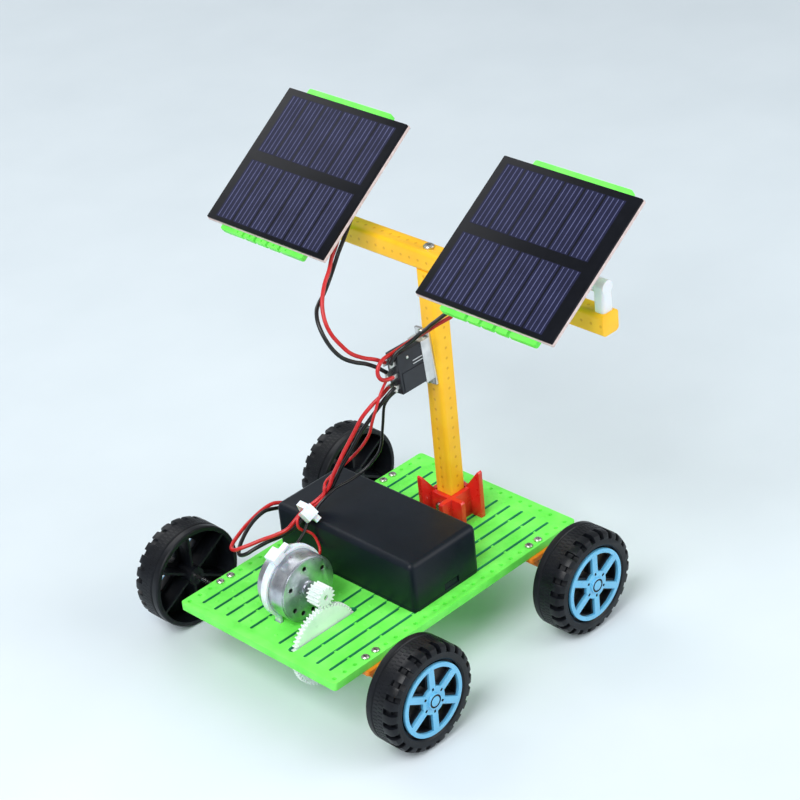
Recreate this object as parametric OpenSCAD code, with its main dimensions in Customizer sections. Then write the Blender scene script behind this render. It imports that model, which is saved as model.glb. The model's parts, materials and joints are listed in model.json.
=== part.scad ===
// Solar car kit: a slotted deck on four wheels, with a geared motor, a battery case
// and two tilting solar panels on a mast.
// Millimetres. The origin is on the ground under the middle of the deck.
// -X is the motor end, +Z is up, and +Y is the left-hand side seen from the motor end.

/* [Deck] */
// Length of the deck, along X
deck_length = 126; // [120:1:140]
// Width of the deck, along Y
deck_width = 80; // [78:1:90]
// Thickness of the deck
deck_thick = 3; // [2.5:0.5:4]
// Height of the deck's top above the ground
deck_top = 26; // [25:0.5:30]
// Width of the long slots
slot_width = 1.2; // [0.8:0.1:1.6]
// Distance between neighbouring slots
slot_pitch = 6.34; // [6:0.02:6.6]
// Radius of the pilot holes along the deck's edges
pilot_r = 0.8; // [0.6:0.1:1]

/* [Wheels and axles] */
// Outer diameter of a wheel
wheel_d = 40; // [38:1:44]
// Width of a wheel without its hubcap
wheel_width = 13; // [12:0.5:15]
// Distance from the middle of the car to a wheel's inner edge
wheel_inner_y = 54; // [52:0.5:60]
// Place of the front axle, under the motor
front_axle_x = -43; // [-46:0.5:-40]
// Place of the rear axle
rear_axle_x = 42; // [38:0.5:44]
// Diameter of the axles and of the motor shaft
axle_d = 2; // [1.5:0.1:2.5]
// Number of lugs on a tyre's outer shoulder
lug_count = 24; // [12:1:30]

/* [Gears] */
// Module of both gears
gear_module = 0.5; // [0.4:0.1:0.6]
// Teeth of the large gear on the front axle
gear_teeth = 60; // [50:1:64]
// Teeth of the motor pinion
pinion_teeth = 15; // [12:1:20]
// Gap left between the teeth of the two gears
backlash = 0.12; // [0.05:0.01:0.3]
// Place of the large gear across the car
gear_y = -13.74; // [-20:0.01:-10]

/* [Motor] */
// Diameter of the motor can
motor_d = 25.2; // [24:0.1:26]
// Length of the motor can
motor_length = 12.6; // [12:0.1:16]
// Place of the motor's front face across the car
motor_face_y = -6; // [-8:0.1:-4]

/* [Battery case] */
// Length of the battery case, across the car
case_length = 69.8; // [68:0.1:76]
// Width of the battery case, along the car
case_width = 34; // [33:0.1:38]
// Height of the battery case
case_height = 20; // [19:0.5:24]

/* [Mast and crossbar] */
// Side of the square beams
beam = 8; // [8:0.5:10]
// Place of the mast along the car
mast_x = 38.9; // [36:0.1:44]
// Height of the crossbar's top above the ground
crossbar_top = 138; // [130:1:160]
// Length of the crossbar
crossbar_length = 165.8; // [160:0.1:176]

/* [Solar panels] */
// Width of a panel, across the car
panel_width = 61.4; // [58:0.1:64]
// Height of a panel, along its slope
panel_height = 58.4; // [50:0.1:64]
// Distance from the mast to a panel's middle
panel_y = 53.3; // [50:0.1:58]
// Tilt of the left panel from the horizontal
left_tilt = 35.5; // [0:0.5:60]
// Tilt of the right panel from the horizontal
right_tilt = 33.5; // [0:0.5:60]

/* [Hidden] */
$fn = 64;
eps = 0.02;
axle_z = wheel_d / 2;
axle_r = axle_d / 2;
running_gap = 0.06;
deck_bottom = deck_top - deck_thick;

slot_front_x = -58.4;
slot_back_x = 55.6;
first_slot_y = 7.4;
bracket_y = 37.5;
bracket_screw_x = 2.5;
pilot_pitch = 5;

gear_r = gear_module * gear_teeth / 2;
pinion_r = gear_module * pinion_teeth / 2;
gear_distance = gear_r + pinion_r + 0.05;
gear_thick = 2;
motor_z = deck_top + motor_d / 2 + 0.05;
motor_x = front_axle_x + sqrt(pow(gear_distance, 2) - pow(motor_z - axle_z, 2));
mesh_angle = atan2(motor_z - axle_z, motor_x - front_axle_x);
motor_cap_length = 1.5;
tie_y = 2.6;
tie_width = 2.8;
tie_thick = 1.1;
tie_leg_x = 8.2;

case_x = 0.4;
case_y = 1.2;
case_wall = 1.6;
cover_thick = 1.6;

foot_wall = 2;
foot_reach = 11;
foot_height = 11.5;
foot_floor = 1.6;
foot_screw_x = 5.2;

beam_round = 1.5;
mast_top = crossbar_top - beam;

pivot_height = crossbar_top + 9;
post_y = 80.1;
post_width = 5.2;
post_depth = 4.4;
arm_y = 76.4;
arm_thick = 2.4;
plate_back = 6.8;
plate_thick = 2.4;
board_thick = 1.2;
cover_layer = 1;
plate_y = 55.3;

switch_y = 1.6;
switch_z = 96;
switch_lean = -5.5;
switch_face_x = mast_x - beam / 2;
ear_spacing = 9.6;

// ---- helpers -----------------------------------------------------------------

// Rectangle with rounded corners, centred.
module rounded_rect(size, r) {
    square([size[0] - 2 * r, size[1]], center = true);
    square([size[0], size[1] - 2 * r], center = true);
    for (sx = [-1, 1], sy = [-1, 1])
        translate([sx * (size[0] / 2 - r), sy * (size[1] / 2 - r)])
            circle(r = r);
}

// Upright prism with rounded corners, centred in plan, standing on z = 0.
module rounded_prism(size, r) {
    linear_extrude(size[2])
        rounded_rect([size[0], size[1]], r);
}

// Beam of the kit's square section, standing on z = 0.
module beam_prism(length) {
    rounded_prism([beam, beam, length], beam_round);
}

// Pan-head screw: the head stands on z = 0 and the shank goes down.
module pan_screw(shank_r, shank_length, head_r, head_height) {
    difference() {
        union() {
            cylinder(r = head_r, h = head_height * 0.6);
            translate([0, 0, head_height * 0.6])
                cylinder(r1 = head_r, r2 = head_r * 0.7, h = head_height * 0.4);
        }
        for (a = [0, 90])
            rotate([0, 0, a])
                translate([-head_r * 0.55, -head_r * 0.12, head_height * 0.5])
                    cube([head_r * 1.1, head_r * 0.24, head_height]);
    }
    translate([0, 0, -shank_length])
        cylinder(r = shank_r, h = shank_length + eps);
}

// Places a part that is drawn around +Z so that its axis points to +Y (side 1) or -Y (side -1).
module along_y(side) {
    rotate([-90 * side, 0, 0])
        children();
}

// ---- deck --------------------------------------------------------------------

// Slot with round ends along X, from x0 to x1.
module slot_cut(x0, x1, y, width, z0, depth) {
    translate([x0 + width / 2, y - width / 2, z0])
        cube([x1 - x0 - width, width, depth]);
    for (x = [x0 + width / 2, x1 - width / 2])
        translate([x, y, z0])
            cylinder(r = width / 2, h = depth, $fn = 24);
}

module base_plate() {
    corner_r = 1.5;
    color("limegreen")
    difference() {
        translate([0, 0, deck_bottom])
            rounded_prism([deck_length, deck_width, deck_thick], corner_r);
        for (side = [-1, 1], i = [0:4])
            slot_cut(slot_front_x, slot_back_x, side * (first_slot_y + i * slot_pitch),
                slot_width, deck_bottom - 1, deck_thick + 2);
        // wide slot that the large gear turns in
        slot_cut(front_axle_x - 16.3, front_axle_x + 16.3, gear_y, 3,
            deck_bottom - 1, deck_thick + 2);
        // two windows for the motor tie's legs
        for (side = [-1, 1])
            translate([motor_x + side * tie_leg_x, tie_y, deck_top])
                cube([tie_thick + 0.8, tie_width + 0.6, 3 * deck_thick], center = true);
        // pilot holes along both long edges, in step with the front bracket's screws
        for (side = [-1, 1], x = [front_axle_x - 17.5 : pilot_pitch : deck_length / 2 - 3])
            translate([x, side * bracket_y, deck_bottom - 1])
                cylinder(r = pilot_r, h = deck_thick + 2, $fn = 24);
        // pilot holes along the tail edge
        for (i = [-6:6])
            translate([deck_length / 2 - 3, pilot_pitch * i, deck_bottom - 1])
                cylinder(r = pilot_r, h = deck_thick + 2, $fn = 24);
        // holes for the rear brackets' screws and the mast foot's screws
        for (side = [-1, 1], dx = [-1, 1])
            translate([rear_axle_x + dx * bracket_screw_x, side * bracket_y, deck_bottom - 1])
                cylinder(r = pilot_r, h = deck_thick + 2, $fn = 24);
        for (dx = [-1, 1])
            translate([mast_x + dx * foot_screw_x / 2, 0, deck_bottom - 1])
                cylinder(r = pilot_r, h = deck_thick + 2, $fn = 24);
    }
}

// Axle bracket: a flange under the deck and a lug that the axle turns in.
module axle_bracket(x, side) {
    color("orange")
    difference() {
        union() {
            translate([x, side * (bracket_y + 0.4), deck_bottom - 1.8])
                rounded_prism([11, 7, 1.8], 1.2);
            translate([x - 3, side * (bracket_y + 0.6) - 2, axle_z])
                cube([6, 4, deck_bottom - axle_z]);
            translate([x, side * (bracket_y + 0.6) - 2, axle_z])
                rotate([-90, 0, 0])
                    cylinder(r = 3, h = 4);
        }
        translate([x, side * (bracket_y + 0.6) - 5, axle_z])
            rotate([-90, 0, 0])
                cylinder(r = axle_r + running_gap, h = 10);
        for (dx = [-1, 1])
            translate([x + dx * bracket_screw_x, side * bracket_y, deck_bottom - 1.9])
                cylinder(r = pilot_r, h = 2, $fn = 24);
    }
}

module bracket_front_left() {
    axle_bracket(front_axle_x, 1);
}

module bracket_front_right() {
    axle_bracket(front_axle_x, -1);
}

module bracket_rear_left() {
    axle_bracket(rear_axle_x, 1);
}

module bracket_rear_right() {
    axle_bracket(rear_axle_x, -1);
}

module bracket_screws() {
    color("gainsboro")
    for (x = [front_axle_x, rear_axle_x], side = [-1, 1], dx = [-1, 1])
        translate([x + dx * bracket_screw_x, side * bracket_y, deck_top])
            pan_screw(pilot_r, deck_thick + 1.7, 1.5, 0.9, $fn = 32);
}

// ---- battery case --------------------------------------------------------------

// Outer shape of the battery case: upright corners and top edges are rounded.
module case_outer() {
    r = 2.6;
    hull() {
        rounded_prism([case_width, case_length, 1], r, $fn = 32);
        for (sx = [-1, 1], sy = [-1, 1])
            translate([sx * (case_width / 2 - r), sy * (case_length / 2 - r), case_height - cover_thick - r])
                sphere(r = r, $fn = 32);
    }
}

module battery_case() {
    color([0.06, 0.06, 0.08])
    translate([case_x, case_y, deck_top + cover_thick])
    difference() {
        case_outer();
        translate([0, 0, -1])
            rounded_prism([case_width - 2 * case_wall, case_length - 2 * case_wall,
                case_height - cover_thick - case_wall + 1], 1.2);
        // notch for the cover's latch, in the right-hand end
        translate([-1.5, -case_length / 2 - 1, -1])
            cube([7.4, 4, 3.6]);
        // two holes for the wires, in the left-hand end
        for (dx = [-5, -1.8])
            translate([dx, case_length / 2 - 4, 9])
                rotate([-90, 0, 0])
                    cylinder(r = 0.85, h = 6, $fn = 24);
    }
}

module battery_cover() {
    color([0.08, 0.08, 0.1])
    translate([case_x, case_y, deck_top]) {
        rounded_prism([case_width, case_length, cover_thick], 2.6);
        translate([-1.2, -case_length / 2 + 0.4, cover_thick - eps])
            cube([6.8, 1, 2.1]);
    }
}

cell_r = 7.1;
cell_length = 50;
cell_z = deck_top + cover_thick + cell_r + 0.6;

module battery_cells() {
    color("steelblue")
    for (side = [-1, 1])
        translate([case_x + side * 7.5, case_y, cell_z])
            rotate([-90 * side, 0, 0]) {
                translate([0, 0, -cell_length / 2])
                    cylinder(r = cell_r, h = cell_length - 1);
                translate([0, 0, cell_length / 2 - 1 - eps])
                    cylinder(r = 2.7, h = 1);
            }
}

module battery_contacts() {
    inner = case_length / 2 - case_wall;
    color("silver")
    for (side = [-1, 1])
        translate([case_x, case_y, cell_z]) {
            translate([-13, side > 0 ? inner - 0.5 : -inner, -5])
                cube([26, 0.5, 10]);
            for (cell = [-1, 1])
                translate([cell * 7.5, side * (inner - 0.4), 0])
                    rotate([90 * side, 0, 0])
                        cylinder(r1 = 4, r2 = 2.2, h = inner - cell_length / 2 - 0.4);
        }
}

// ---- motor and gears -----------------------------------------------------------

module motor_can() {
    color("silver")
    translate([motor_x, motor_face_y, motor_z])
        rotate([-90, 0, 0])
            difference() {
                union() {
                    cylinder(r = motor_d / 2 - 0.5, h = 1);
                    translate([0, 0, 0.5])
                        cylinder(r = motor_d / 2, h = motor_length - 0.5);
                    translate([0, 0, -0.8])
                        cylinder(r = 3.1, h = 1.2);
                }
                translate([0, 0, 1])
                    cylinder(r = motor_d / 2 - 0.6, h = motor_length);
                translate([0, 0, -2])
                    cylinder(r = axle_r + running_gap, h = 4);
                // holes in the face, 60 degrees apart, and one between two of them
                for (a = [35 : 60 : 335])
                    rotate([0, 0, -a])
                        translate([9, 0, -1])
                            cylinder(r = 0.9, h = 3, $fn = 24);
                rotate([0, 0, -245])
                    translate([9, 0, -1])
                        cylinder(r = 0.9, h = 3, $fn = 24);
            }
}

module motor_end_cap() {
    color("whitesmoke")
    translate([motor_x, motor_face_y + motor_length - 1, motor_z])
        rotate([-90, 0, 0])
            difference() {
                union() {
                    cylinder(r = motor_d / 2 - 0.6, h = 1);
                    translate([0, 0, 1 - eps])
                        cylinder(r = motor_d / 2 - 1, h = motor_cap_length);
                    translate([0, 0, 1])
                        cylinder(r = 3, h = motor_cap_length + 0.8);
                }
                translate([0, 0, -0.1])
                    cylinder(r = axle_r + running_gap, h = 1.2);
                // solder lug holes
                for (dx = [-1, 1])
                    translate([dx * 5, -3, 1.6])
                        cylinder(r = 0.85, h = 2, $fn = 24);
            }
}

// Strap round the can, through the deck and across under it.
module motor_tie() {
    ring_r = motor_d / 2 + 0.03;
    color("white")
    translate([motor_x, tie_y, motor_z]) {
        difference() {
            translate([0, tie_width / 2, 0])
                rotate([90, 0, 0])
                    cylinder(r = ring_r + tie_thick, h = tie_width);
            translate([0, tie_width, 0])
                rotate([90, 0, 0])
                    cylinder(r = ring_r, h = 2 * tie_width);
            translate([0, 0, -motor_d / 2])
                cube([2 * tie_leg_x - tie_thick, 2 * tie_width, motor_d - 10], center = true);
        }
        for (side = [-1, 1])
            translate([side * tie_leg_x - tie_thick / 2, -tie_width / 2, deck_bottom - tie_thick - motor_z])
                cube([tie_thick, tie_width, deck_thick + tie_thick + 2.45]);
        translate([-tie_leg_x, -tie_width / 2, deck_bottom - tie_thick - motor_z])
            cube([2 * tie_leg_x, tie_width, tie_thick - 0.05]);
        // locking head and the cut end of the strap
        rotate([0, -24, 0])
            translate([0, 0, ring_r + tie_thick + 1.4]) {
                cube([5, 5, 3], center = true);
                translate([2.4, -tie_width / 2 + 0.2, -1.2])
                    cube([4, tie_width - 0.4, 1]);
            }
    }
}

// Involute of a circle: angle in degrees of the curve's point at pressure angle a.
function inv(a) = tan(a) * 180 / PI - a;

// Half the angle that a tooth takes up at radius r.
function tooth_half(r, pitch_r, teeth) =
    let (base_r = pitch_r * cos(20), a = r > base_r ? acos(base_r / r) : 0)
    90 / teeth - backlash / 4 / pitch_r * 180 / PI + inv(20) - inv(a);

// Outline of one tooth, from its left root to its right root.
function tooth_points(pitch_r, teeth, turn) =
    let (root_r = pitch_r - 1.25 * gear_module,
         tip_r = pitch_r + gear_module,
         radii = [for (i = [0:4]) max(root_r, pitch_r - gear_module * 0.9) + i / 4 * (tip_r - max(root_r, pitch_r - gear_module * 0.9))])
    concat(
        [let (a = turn + 90 / teeth * 1.45) root_r * [cos(a), sin(a)]],
        [for (r = radii) let (a = turn + tooth_half(r, pitch_r, teeth)) r * [cos(a), sin(a)]],
        [for (i = [4:-1:0]) let (r = radii[i], a = turn - tooth_half(r, pitch_r, teeth)) r * [cos(a), sin(a)]],
        [let (a = turn - 90 / teeth * 1.45) root_r * [cos(a), sin(a)]]
    );

// Flat spur gear whose first tooth points along the given angle.
module spur(pitch_r, teeth, thick, turn) {
    linear_extrude(thick)
        polygon([for (i = [teeth - 1 : -1 : 0]) each tooth_points(pitch_r, teeth, turn + 360 / teeth * i)]);
}

module drive_gear() {
    color([0.93, 0.96, 0.95])
    translate([front_axle_x, gear_y, axle_z])
        rotate([90, 0, 0])
            difference() {
                union() {
                    translate([0, 0, -gear_thick / 2])
                        spur(gear_r, gear_teeth, gear_thick, mesh_angle);
                    translate([0, 0, -3])
                        cylinder(r = 2.6, h = 6);
                }
                translate([0, 0, -4])
                    cylinder(r = axle_r, h = 8);
            }
}

pinion_front_y = -14.9;
pinion_length = 6;

module pinion() {
    color("white")
    translate([motor_x, pinion_front_y, motor_z])
        rotate([-90, 0, 0])
            difference() {
                mirror([0, 1, 0])
                    spur(pinion_r, pinion_teeth, pinion_length, mesh_angle + 180 + 180 / pinion_teeth);
                translate([0, 0, -1])
                    cylinder(r = axle_r, h = pinion_length + 2);
            }
}

module motor_shaft() {
    color("lightgray")
    translate([motor_x, pinion_front_y + 0.4, motor_z])
        rotate([-90, 0, 0])
            cylinder(r = axle_r, h = motor_face_y + motor_length - pinion_front_y - 0.6);
}

// Wound core that the motor shaft carries inside the can.
module motor_core() {
    color("chocolate")
    translate([motor_x, motor_face_y + 3, motor_z])
        rotate([-90, 0, 0])
            difference() {
                cylinder(r = motor_d / 2 - 4, h = motor_length - 6);
                translate([0, 0, -1])
                    cylinder(r = axle_r, h = motor_length);
                for (a = [0, 120, 240])
                    rotate([0, 0, a])
                        translate([motor_d / 2 - 6.5, -0.8, -1])
                            cube([4, 1.6, motor_length]);
            }
}

// ---- wheels --------------------------------------------------------------------

axle_reach = wheel_inner_y + wheel_width - 1.5;
cap_r = 13.9;
cap_thick = 1.2;
lug_gap = 2.1;

module axle(x) {
    color("lightgray")
    translate([x, -axle_reach, axle_z])
        rotate([-90, 0, 0])
            cylinder(r = axle_r, h = 2 * axle_reach);
}

module front_axle() {
    axle(front_axle_x);
}

module rear_axle() {
    axle(rear_axle_x);
}

// Windows of a wheel's web or of a hubcap: a ring cut by six straight spokes.
module windows(inner_r, outer_r, spoke) {
    difference() {
        circle(r = outer_r);
        circle(r = inner_r);
        for (a = [30, 90, 150])
            rotate([0, 0, a])
                square([2 * outer_r + 1, spoke], center = true);
    }
}

// Wheel drawn around +Z: the inner edge is at z = 0 and the hubcap sits in the top.
module wheel_solid() {
    r = wheel_d / 2;
    w = wheel_width;
    difference() {
        union() {
            rotate_extrude($fn = 96)
                polygon([
                    [r - 1.9, 0], [r - 0.5, 0], [r - 0.1, 0.5], [r - 0.1, 2.6], [r - 0.5, 2.9],
                    [r - 0.5, 3.3], [r - 0.1, 3.6], [r - 0.1, 8.2], [r, 8.6], [r, w - 1.9],
                    [r - 0.6, w - 0.7], [r - 1.9, w], [r - 4.6, w], [r - 5.3, w - 0.6], [r - 5.3, w - 2.6],
                    [r - 2.6, w - 2.6], [r - 1.9, w - 3.6]
                ]);
            // web behind the hubcap, and the thick plate that carries it
            translate([0, 0, w - 3.8])
                cylinder(r = r - 2.5, h = 1.4);
            translate([0, 0, w - 3])
                cylinder(r = cap_r, h = 2);
            // hub
            translate([0, 0, 0.6])
                cylinder(r = 3.4, h = w - 1.8);
            // ribs inside
            for (a = [0 : 60 : 300])
                rotate([0, 0, a + 30])
                    translate([3, -0.5, 2.4])
                        cube([r - 4.6, 1, w - 6]);
        }
        // windows through the web
        translate([0, 0, w - 5])
            linear_extrude(5)
                windows(6, 11.8, 4.2);
        // gaps between the lugs
        for (i = [0 : lug_count - 1])
            rotate([0, 0, 360 / lug_count * i])
                translate([r - 1.5, -lug_gap / 2, w - 4.6]) {
                    cube([3, lug_gap, 5]);
                    translate([-1, 0, 2.3])
                        cube([3, lug_gap, 3]);
                }
        // press fit for the axle
        translate([0, 0, -1])
            cylinder(r = axle_r, h = w - 0.5);
    }
}

module wheel(x, side) {
    color([0.05, 0.05, 0.06])
    translate([x, side * wheel_inner_y, axle_z])
        along_y(side)
            wheel_solid();
}

// Hubcap: a flat ring with six windows, a raised rim and a raised ring at its middle.
module hubcap(x, side) {
    color("lightblue")
    translate([x, side * (wheel_inner_y + wheel_width - 2.4), axle_z])
        along_y(side) {
            difference() {
                union() {
                    translate([0, 0, 2.6 - cap_thick])
                        cylinder(r = cap_r, h = cap_thick);
                    translate([0, 0, 2.6 - eps])
                        cylinder(r = 3, h = 0.8);
                }
                translate([0, 0, -1])
                    linear_extrude(5)
                        windows(5.3, 12.3, 2.6);
                translate([0, 0, 3])
                    difference() {
                        cylinder(r = 2.6, h = 1);
                        translate([0, 0, -0.1])
                            cylinder(r = 1.9, h = 1.2);
                    }
                // six small marks round the middle
                for (a = [0 : 60 : 300])
                    rotate([0, 0, a + 30])
                        translate([4, -0.45, 2.1])
                            cube([1.1, 0.9, 1]);
            }
        }
}

module wheel_front_left() {
    wheel(front_axle_x, 1);
}

module wheel_front_right() {
    wheel(front_axle_x, -1);
}

module wheel_rear_left() {
    wheel(rear_axle_x, 1);
}

module wheel_rear_right() {
    wheel(rear_axle_x, -1);
}

module hubcap_front_left() {
    hubcap(front_axle_x, 1);
}

module hubcap_front_right() {
    hubcap(front_axle_x, -1);
}

module hubcap_rear_left() {
    hubcap(rear_axle_x, 1);
}

module hubcap_rear_right() {
    hubcap(rear_axle_x, -1);
}

// ---- mast and crossbar ---------------------------------------------------------

// One cheek of the foot, along X at the given y; its front end may rise to a tall tip.
module foot_cheek(y, tall) {
    top = foot_height;
    tip = tall ? 20 : foot_height;
    translate([0, y + foot_wall / 2, 0])
        rotate([90, 0, 0])
            linear_extrude(foot_wall)
                polygon([
                    [-foot_reach, 0], [foot_reach, 0], [foot_reach, top], [-beam / 2, top],
                    [-foot_reach + 0.6, tip], [-foot_reach, tip - 0.6]
                ]);
}

// Mast foot: two pairs of crossed cheeks make a square socket with open corners outside.
module mast_foot() {
    cheek_y = beam / 2 + foot_wall / 2 + 0.05;
    color("red")
    translate([mast_x, 0, deck_top])
        difference() {
            union() {
                foot_cheek(cheek_y, true);
                foot_cheek(-cheek_y, false);
                mirror([1, -1, 0]) {
                    foot_cheek(cheek_y, true);
                    foot_cheek(-cheek_y, false);
                }
                translate([0, 0, foot_floor / 2])
                    cube([2 * cheek_y, 2 * cheek_y, foot_floor], center = true);
            }
            for (dx = [-1, 1])
                translate([dx * foot_screw_x / 2, 0, -1])
                    cylinder(r = pilot_r, h = 4, $fn = 24);
            // side holes for the screws that hold the mast
            translate([-foot_reach, 0, 6.4])
                rotate([0, 90, 0])
                    cylinder(r = 1, h = foot_reach, $fn = 24);
            translate([0, 0, 9.4])
                rotate([0, 90, 0])
                    cylinder(r = 1, h = foot_reach, $fn = 24);
        }
}

// Two screws up through the deck, and one on each side through the foot into the mast.
module foot_screws() {
    color("gainsboro")
    translate([mast_x, 0, deck_top]) {
        for (dx = [-1, 1])
            translate([dx * foot_screw_x / 2, 0, -deck_thick])
                rotate([180, 0, 0])
                    pan_screw(pilot_r, deck_thick + foot_floor, 1.6, 1, $fn = 32);
        translate([-beam / 2 - foot_wall - 0.05, 0, 6.4])
            rotate([0, -90, 0])
                pan_screw(1, foot_wall + 3, 1.9, 1.4, $fn = 32);
        translate([beam / 2 + foot_wall + 0.05, 0, 9.4])
            rotate([0, 90, 0])
                pan_screw(1, foot_wall + 3, 1.9, 1.4, $fn = 32);
    }
}

// Places what is drawn at the switch's own origin: +X points at the mast.
module at_switch() {
    translate([switch_face_x, switch_y, switch_z])
        rotate([switch_lean, 0, 0])
            children();
}

module mast() {
    color("gold")
    difference() {
        translate([mast_x, 0, deck_top + foot_floor])
            beam_prism(mast_top - deck_top - foot_floor);
        // the two screws in the foot
        translate([mast_x - beam, 0, deck_top + 6.4])
            rotate([0, 90, 0])
                cylinder(r = 1, h = beam - 1, $fn = 24);
        translate([mast_x + 1, 0, deck_top + 9.4])
            rotate([0, 90, 0])
                cylinder(r = 1, h = beam - 1, $fn = 24);
        // hole for the switch's plunger, and two for its screws
        translate([mast_x - beam, switch_y, switch_z])
            rotate([0, 90, 0])
                cylinder(r = 1.45, h = 2 * beam, $fn = 32);
        at_switch()
            for (s = [-1, 1])
                translate([-1, 0, s * ear_spacing])
                    rotate([0, 90, 0])
                        cylinder(r = 0.8, h = 6, $fn = 24);
        // screw from the crossbar
        translate([mast_x, 0, mast_top - 6])
            cylinder(r = 1, h = 7, $fn = 24);
    }
}

module crossbar() {
    color("gold")
    difference() {
        translate([mast_x, -crossbar_length / 2, crossbar_top - beam / 2])
            rotate([-90, 0, 0])
                beam_prism(crossbar_length);
        translate([mast_x, 0, mast_top - 1])
            cylinder(r = 1, h = beam + 2, $fn = 24);
        for (side = [-1, 1])
            translate([mast_x, side * post_y, mast_top - 1])
                cylinder(r = 0.9, h = beam + 2, $fn = 24);
    }
}

module crossbar_screw() {
    color("gainsboro")
    translate([mast_x, 0, crossbar_top])
        pan_screw(1, beam + 6, 2, 1.3, $fn = 32);
}

// ---- panel supports ------------------------------------------------------------

// Post on the crossbar's end; its round top carries the tilt screw.
module post(side) {
    color("white")
    difference() {
        union() {
            translate([mast_x, side * post_y, crossbar_top])
                rounded_prism([post_width, post_depth, pivot_height - crossbar_top], 1.2);
            translate([mast_x, side * post_y - post_depth / 2, pivot_height])
                rotate([-90, 0, 0])
                    cylinder(r = post_width / 2, h = post_depth);
        }
        translate([mast_x, side * post_y, crossbar_top - 1])
            cylinder(r = 0.9, h = 5.5, $fn = 24);
        translate([mast_x, side * (post_y - 0.75), pivot_height])
            along_y(side)
                translate([0, 0, -3])
                    cylinder(r = 1, h = 5, $fn = 32);
    }
}

module post_left() {
    post(1);
}

module post_right() {
    post(-1);
}

module post_screws() {
    color("gainsboro")
    for (side = [-1, 1])
        translate([mast_x, side * post_y, mast_top])
            rotate([180, 0, 0])
                pan_screw(0.9, beam + 4.4, 1.9, 1.3, $fn = 32);
}

module tilt_screws() {
    color("gainsboro")
    for (side = [-1, 1])
        translate([mast_x, side * (arm_y - arm_thick / 2 - 0.1), pivot_height])
            along_y(-side)
                pan_screw(1, post_y + 1.2 - arm_y + arm_thick / 2, 1.8, 1.3, $fn = 32);
}

// Places what is drawn around a panel's tilt axis: +Z is the panel's front, +X goes up its slope.
module at_panel(side) {
    translate([mast_x, 0, pivot_height])
        rotate([0, side > 0 ? -left_tilt : -right_tilt, 0])
            children();
}

arm_length = 17;

// Arm: a foot on the back plate and an ear that turns on the tilt screw.
module arm(side) {
    color("white")
    at_panel(side)
        difference() {
            union() {
                translate([0, side * (arm_y + arm_thick / 2 - arm_length / 2), plate_back - 1.6])
                    rounded_prism([7, arm_length, 1.6], 1.2);
                translate([-2.6, side * arm_y - arm_thick / 2, 0])
                    cube([5.2, arm_thick, plate_back - 1]);
                translate([0, side * arm_y - arm_thick / 2, 0])
                    rotate([-90, 0, 0])
                        cylinder(r = 2.6, h = arm_thick);
            }
            translate([0, side * arm_y - 5, 0])
                rotate([-90, 0, 0])
                    cylinder(r = 1.05, h = 10, $fn = 32);
            translate([0, side * (arm_y - 11), plate_back - 2])
                cylinder(r = 0.9, h = 3, $fn = 24);
        }
}

module arm_left() {
    arm(1);
}

module arm_right() {
    arm(-1);
}

module arm_screw(side) {
    color("gainsboro")
    at_panel(side)
        translate([0, side * (arm_y - 11), plate_back - 1.6])
            rotate([180, 0, 0])
                pan_screw(0.9, 1.6 + plate_thick, 1.8, 1.2, $fn = 32);
}

module arm_screw_left() {
    arm_screw(1);
}

module arm_screw_right() {
    arm_screw(-1);
}

plate_width = 43;
plate_low = panel_height / 2 + 1.7;
plate_high = panel_height / 2 + 2.7;

// Green plate between a panel and its arm. Its four slots run out at the low edge, and
// edge_holes lists the places of the small holes between them, in slot pitches.
module back_plate(side, edge_holes) {
    color("limegreen")
    at_panel(side)
        difference() {
            translate([(plate_high - plate_low) / 2, side * plate_y, plate_back])
                rounded_prism([plate_high + plate_low, plate_width, plate_thick], 1);
            for (i = [-1.5 : 1 : 1.5])
                slot_cut(-plate_low - 3, plate_high - 4,
                    side * plate_y + i * slot_pitch, slot_width, plate_back - 1, plate_thick + 2);
            translate([0, side * (arm_y - 11), plate_back - 1])
                cylinder(r = 0.9, h = plate_thick + 2, $fn = 24);
            for (i = edge_holes)
                translate([1.1 - plate_low, side * plate_y + i * slot_pitch, plate_back - 1])
                    cylinder(r = 0.4, h = plate_thick + 2, $fn = 16);
        }
}

module back_plate_left() {
    back_plate(1, [-2 : 1 : 2]);
}

module back_plate_right() {
    back_plate(-1, []);
}

module panel_board(side) {
    color([0.85, 0.75, 0.75])
    at_panel(side)
        translate([0, side * panel_y, plate_back + plate_thick])
            rounded_prism([panel_height, panel_width, board_thick], 0.4);
}

module panel_board_left() {
    panel_board(1);
}

module panel_board_right() {
    panel_board(-1);
}

// Resin layer with the cells under it.
module panel_cover(side) {
    color([0.05, 0.06, 0.14])
    at_panel(side)
        translate([0, side * panel_y, plate_back + plate_thick + board_thick])
            rounded_prism([panel_height - 0.4, panel_width - 0.4, cover_layer], 0.4);
}

module panel_cover_left() {
    panel_cover(1);
}

module panel_cover_right() {
    panel_cover(-1);
}

// ---- switch --------------------------------------------------------------------

frame_thick = 1.1;
body_depth = 16;

module switch_frame() {
    color("silver")
    at_switch()
        difference() {
            union() {
                translate([-frame_thick, -3.4, -11])
                    cube([frame_thick, 6.8, 22]);
                translate([-frame_thick - 4.2, -3.3, -8.15])
                    cube([4.3, 6.6, 16.3]);
            }
            translate([-frame_thick - 5, -2.9, -7.75])
                cube([5, 5.8, 15.5]);
            translate([-2, 0, 0])
                rotate([0, 90, 0])
                    cylinder(r = 1.6, h = 4, $fn = 32);
            for (s = [-1, 1])
                translate([-3, 0, s * ear_spacing])
                    rotate([0, 90, 0])
                        cylinder(r = 0.8, h = 5, $fn = 24);
        }
}

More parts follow.
